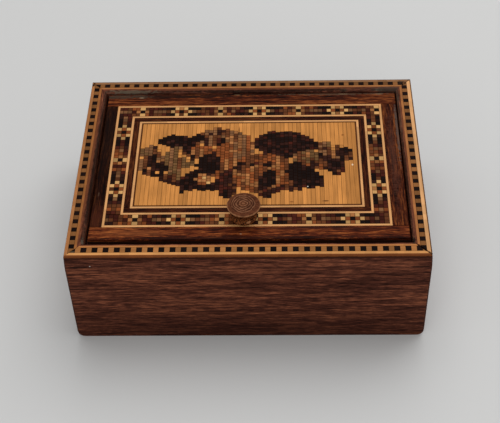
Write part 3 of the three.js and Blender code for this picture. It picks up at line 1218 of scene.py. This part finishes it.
class TRINKET_OT_picture(Operator):
    """Picture of flowers in small tesserae on a ground of light slips"""
    bl_idname = "trinket.picture"
    bl_label = "Picture"

    def execute(self, context):
        woods = colours()
        rng = random.Random(sizes().seed + 3)
        low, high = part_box("mosaic_picture")
        line = sizes().picture_line
        middle = (low + high) / 2
        top = high.z - sizes().relief
        inner_low = Vector((low.x + line, low.y + line, 0))
        inner_high = Vector((high.x - line, high.y - line, 0))
        columns = round((inner_high.x - inner_low.x) / sizes().slip)
        slip = (inner_high.x - inner_low.x) / columns
        bm = new_shape()
        grounds = []
        parts = []
        for column in range(columns):
            left = inner_low.x + column * slip
            right = left + slip
            shift = rng.uniform(-0.4, 0.4) * MM
            stick = rng.uniform(0.78, 1.16)
            across = ((left + right) / 2 - middle.x) / MM
            for bottom, upper, wood in column_runs(
                    inner_low.y, inner_high.y, middle.y, across, shift, rng):
                if wood is None:
                    tone = shade(woods.satinwood, stick * rng.uniform(0.93, 1.07))
                else:
                    tone = shade(getattr(woods, wood[1]), rng.uniform(0.7, 1.25))
                face = tessera(bm, (left, bottom, low.z), (right, upper, top), tone)
                (grounds if wood is None else parts).append(face)
        for start, end in (
                ((low.x, low.y), (high.x, inner_low.y)),
                ((low.x, inner_high.y), (high.x, high.y)),
                ((low.x, inner_low.y), (inner_low.x, inner_high.y)),
                ((inner_high.x, inner_low.y), (high.x, inner_high.y))):
            parts.append(tessera(bm, (*start, low.z), (*end, top), shade(woods.padouk, 0.42)))
        bm.normal_update()
        with_joints(bm, grounds, sizes().slip_joint, rng, 0.45, 0.4)
        with_joints(bm, parts, sizes().joint, rng)
        material = tesserae("picture_woods", "Y", 0.42, PICTURE_MARKS)
        finish_piece(bm, "picture", ["mosaic_picture"], material)
        return {"FINISHED"}


# Knob

# Height of the neck's narrowest place and radius of the hollow over it, beside the knob's whole height
NECK_HEIGHT = 0.4
NECK_HOLLOW = 0.27
# Points of the button's flat top from its edge to its middle
TOP_STEPS = 64


def knob_finish(low, high):
    """Turned wood: thin uneven rings a little off the middle, a redder heart, a pale edge that is partly worn
    and partly a painted highlight on the rounded rim, and painted shade under the button with flecks of worn
    wood.
    """
    finish = Finish("turned_rosewood", "X")
    woods = colours()
    tree = finish.tree
    middle = (low + high) / 2 / MM
    reach = (high.x - low.x) / 2 / MM
    top = high.z / MM
    around = vector_math(tree, "SUBTRACT", finish.mm, (middle.x, middle.y, 0))
    flat = vector_math(tree, "MULTIPLY", around, (1, 1, 0))
    radius = vector_math(tree, "LENGTH", flat)
    off_middle = vector_math(tree, "SUBTRACT", flat, (-0.2, 0.35, 0))
    ring_radius = vector_math(tree, "LENGTH", off_middle)
    wobble = stretched_noise(tree, finish.mm, (0.5, 0.5, 0.5), 2.0)
    cloud = stretched_noise(tree, finish.mm, (0.9, 0.9, 0.9))
    fleck = stretched_noise(tree, finish.mm, (2.6, 2.6, 2.6), 2.0)
    ringed = math_node(tree, "MULTIPLY_ADD", wobble, 1.3, ring_radius)
    turns = math_node(tree, "MULTIPLY", ringed, math.tau * MM / sizes().ring_pitch)
    wave = math_node(tree, "SINE", turns)
    inner = remap(tree, ring_radius, reach * sizes().ringed, reach * sizes().ringed - 0.5)
    lit = remap(tree, wave, 0.0, 0.9)
    lit = math_node(tree, "MULTIPLY", lit, remap(tree, cloud, 0.34, 0.58, 0.2, 1.0))
    lit = math_node(tree, "MULTIPLY", lit, inner)
    base = mix_colour(tree, remap(tree, cloud, 0.35, 0.65), woods.turned, woods.turned_red)
    heart = remap(tree, ring_radius, 1.6, 0.7, 0.0, 0.75)
    base = mix_colour(tree, heart, base, woods.turned_heart)
    base = mix_colour(tree, lit, base, woods.turned_light)
    groove = math_node(tree, "MULTIPLY", remap(tree, wave, -0.3, -0.9, 0.0, 0.75), inner)
    base = mix_colour(tree, groove, base, shade(woods.turned, 0.4))
    base = mix_colour(tree, remap(tree, fleck, 0.57, 0.68, 0.0, 0.7), base, shade(woods.turned, 0.5))
    # Pale edge round the button: partly worn wood, partly a painted highlight on the rounded rim
    pale = remap(tree, radius, reach - 0.32, reach - 0.1)
    pale = math_node(tree, "MULTIPLY", pale, remap(tree, cloud, 0.38, 0.55, 0.4, 0.9))
    base = mix_colour(tree, pale, base, woods.turned_edge)
    # Under the button the wood is painted dark as painted shade, with flecks of worn wood
    level = add_node(tree, "ShaderNodeSeparateXYZ", {0: finish.mm}).outputs["Z"]
    below = remap(tree, level, top - 0.25, top - 0.55)
    worn = remap(tree, fleck, 0.42, 0.60)
    worn = mix_colour(tree, worn, shade(woods.turned, 0.4), woods.turned_worn)
    base = mix_colour(tree, below, base, worn)
    chip_place = (middle.x + 1.5, middle.y - 3.4, low.z / MM + 1.2)
    chip = mark(chip_place, (1.1, 1.0, 0.3), (186, 130, 88), 0.8, 0.3)
    return finish.connect(finish.smudges(base, [chip]), wave, 0.04)


def arc(middle_r, middle_z, radius, start, end, steps):
    """Points of a turned profile along an arc, from one angle to another in degrees."""
    for step in range(steps + 1):
        angle = math.radians(start + (end - start) * step / steps)
        yield Vector((middle_r + radius * math.cos(angle), 0, middle_z + radius * math.sin(angle)))


def knob_profile(height, top_radius):
    """Half of the knob's section: foot with a bead, hollow neck, button, and its ringed flat top."""
    foot = top_radius * sizes().knob_foot
    neck = top_radius * sizes().knob_neck
    bead = sizes().knob_bead
    rim = sizes().knob_rim
    hollow = height * NECK_HOLLOW
    points = [
        Vector((0, 0, 0)),
        Vector((foot - bead, 0, 0)),
        *arc(foot - bead, bead, bead, -60, 60, 8),
        Vector((neck, 0, height * NECK_HEIGHT - bead)),
        *arc(neck + hollow, height * NECK_HEIGHT, hollow, 180, 100, 8),
        *arc(top_radius - rim, height - rim, rim, -70, 90, 10),
    ]
    ringed = top_radius * sizes().ringed
    for step in range(1, TOP_STEPS):
        radius = (top_radius - rim) * (1 - step / TOP_STEPS)
        groove = 0.0
        if radius < ringed:
            groove = 0.5 - 0.5 * math.cos(math.tau * (ringed - radius) / sizes().ring_pitch)
        points.append(Vector((radius, 0, height - sizes().ring_depth * groove)))
    return points + [Vector((0, 0, height))]


class TRINKET_OT_knob(Operator):
    """Turned knob with a flat ringed button"""
    bl_idname = "trinket.knob"
    bl_label = "Knob"

    def execute(self, context):
        low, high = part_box("knob")
        middle = (low + high) / 2
        bm = bmesh.new()
        verts = [bm.verts.new(point) for point in knob_profile(high.z - low.z, (high.x - low.x) / 2)]
        edges = [bm.edges.new(pair) for pair in zip(verts, verts[1:])]
        bmesh.ops.spin(
            bm, geom=verts + edges, cent=(0, 0, 0), axis=(0, 0, 1), dvec=(0, 0, 0),
            angle=math.tau, steps=sizes().turning_steps, use_merge=True)
        bmesh.ops.remove_doubles(bm, verts=bm.verts, dist=TOUCHING)
        bmesh.ops.recalc_face_normals(bm, faces=bm.faces)
        bmesh.ops.translate(bm, verts=bm.verts, vec=(middle.x, middle.y, low.z))
        finish_piece(
            bm, "turned_knob", ["knob"], knob_finish(low, high), smooth=True)
        return {"FINISHED"}


class TRINKET_OT_plain_boards(Operator):
    """Plain wood of the bottom board and of the board under the lid"""
    bl_idname = "trinket.plain_boards"
    bl_label = "Plain Boards"

    def execute(self, context):
        # The board under the lid takes the darkened colour that stands partly for the shade in the gap round
        # the lid
        for node, wood in (("base_board", colours().carcass), ("lid_board", colours().stained_and_shaded_lid_core)):
            finish = Finish(f"{node}_wood", "X", (5, 9, 2), 0.65)
            fine = finish.group("fine_grain", Vector=finish.grain, Strength=0.35)
            base = brighten(finish.tree, wood, fine["Brightness"])
            material = finish.connect(base, fine["Height"], 0.04)
            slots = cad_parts[node].data.materials
            slots.clear()
            slots.append(material)
        return {"FINISHED"}


# Stage

FLOOR_HALF = 1.5
# Size and place of each soft light, and the point near the box that they all face
KEY_LIGHT = ((0.9, 0.9), (0.16, 0.32, 0.8))
FILL_LIGHT = ((0.8, 0.4), (-0.1, -0.7, 0.45))
LIT_POINT = (0, 0, 0.02)


def area_light(name, power, size, place):
    light = bpy.data.lights.new(name, "AREA")
    light.shape = "RECTANGLE"
    light.size, light.size_y = size
    light.energy = power
    lamp = bpy.data.objects.new(name, light)
    lamp.location = place
    lamp.rotation_euler = (Vector(LIT_POINT) - Vector(place)).to_track_quat("-Z", "Y").to_euler()
    bpy.context.scene.collection.objects.link(lamp)


class TRINKET_OT_stage(Operator):
    """Plain pale floor, soft light and the camera"""
    bl_idname = "trinket.stage"
    bl_label = "Stage"

    def execute(self, context):
        settings = context.scene.trinket_stage
        scene = context.scene
        scene.view_settings.view_transform = "Standard"

        bm = bmesh.new()
        bmesh.ops.create_grid(bm, x_segments=1, y_segments=1, size=FLOOR_HALF)
        mesh = bpy.data.meshes.new("floor")
        bm.to_mesh(mesh)
        bm.free()
        floor = bpy.data.objects.new("floor", mesh)
        scene.collection.objects.link(floor)
        paper = bpy.data.materials.new("pale_floor")
        paper.use_nodes = True
        shader = paper.node_tree.nodes["Principled BSDF"]
        shader.inputs["Base Color"].default_value = (*colours().floor, 1)
        shader.inputs["Roughness"].default_value = 0.6
        mesh.materials.append(paper)

        world = bpy.data.worlds.new("soft_light")
        world.use_nodes = True
        background = world.node_tree.nodes["Background"]
        background.inputs["Color"].default_value = (1, 1, 1, 1)
        background.inputs["Strength"].default_value = settings.world_light
        scene.world = world
        area_light("key", settings.key_light, *KEY_LIGHT)
        area_light("fill", settings.fill_light, *FILL_LIGHT)

        camera_data = bpy.data.cameras.new("camera")
        camera_data.lens = settings.lens
        camera_data.sensor_width = 36
        camera_data.clip_start = 0.01
        camera = bpy.data.objects.new("camera", camera_data)
        camera.location = settings.camera_place
        camera.rotation_euler = Euler(settings.camera_turn)
        scene.collection.objects.link(camera)
        scene.camera = camera
        return {"FINISHED"}


SETTINGS = {
    "trinket_sizes": TrinketSizes,
    "trinket_colours": TrinketColours,
    "trinket_stage": TrinketStage,
}
PIECES = (
    TRINKET_OT_walls,
    TRINKET_OT_edge_banding,
    TRINKET_OT_lid_border,
    TRINKET_OT_stringing,
    TRINKET_OT_dark_strips,
    TRINKET_OT_mosaic_bands,
    TRINKET_OT_picture,
    TRINKET_OT_knob,
    TRINKET_OT_plain_boards,
    TRINKET_OT_stage,
)


class TRINKET_PT_sidebar(Panel):
    """Lists the pieces of the box and their sizes and colours."""
    bl_idname = "TRINKET_PT_sidebar"
    bl_label = "Trinket Box"
    bl_space_type = "VIEW_3D"
    bl_region_type = "UI"
    bl_category = "Trinket Box"

    def draw(self, context):
        for piece in PIECES:
            self.layout.operator(piece.bl_idname)
        for group in SETTINGS:
            settings = getattr(context.scene, group)
            box = self.layout.box()
            for name in settings.__annotations__:
                box.prop(settings, name)


CLASSES = (*SETTINGS.values(), *PIECES, TRINKET_PT_sidebar)


def register():
    for item in CLASSES:
        bpy.utils.register_class(item)
    for group, kind in SETTINGS.items():
        setattr(bpy.types.Scene, group, PointerProperty(type=kind))


def unregister():
    for group in SETTINGS:
        delattr(bpy.types.Scene, group)
    for item in reversed(CLASSES):
        bpy.utils.unregister_class(item)


def main():
    register()
    bpy.ops.trinket.walls()
    bpy.ops.trinket.edge_banding()
    bpy.ops.trinket.lid_border()
    bpy.ops.trinket.stringing()
    bpy.ops.trinket.dark_strips()
    bpy.ops.trinket.mosaic_bands()
    bpy.ops.trinket.picture()
    bpy.ops.trinket.knob()
    bpy.ops.trinket.plain_boards()
    bpy.ops.trinket.stage()


if __name__ == "__main__":
    main()
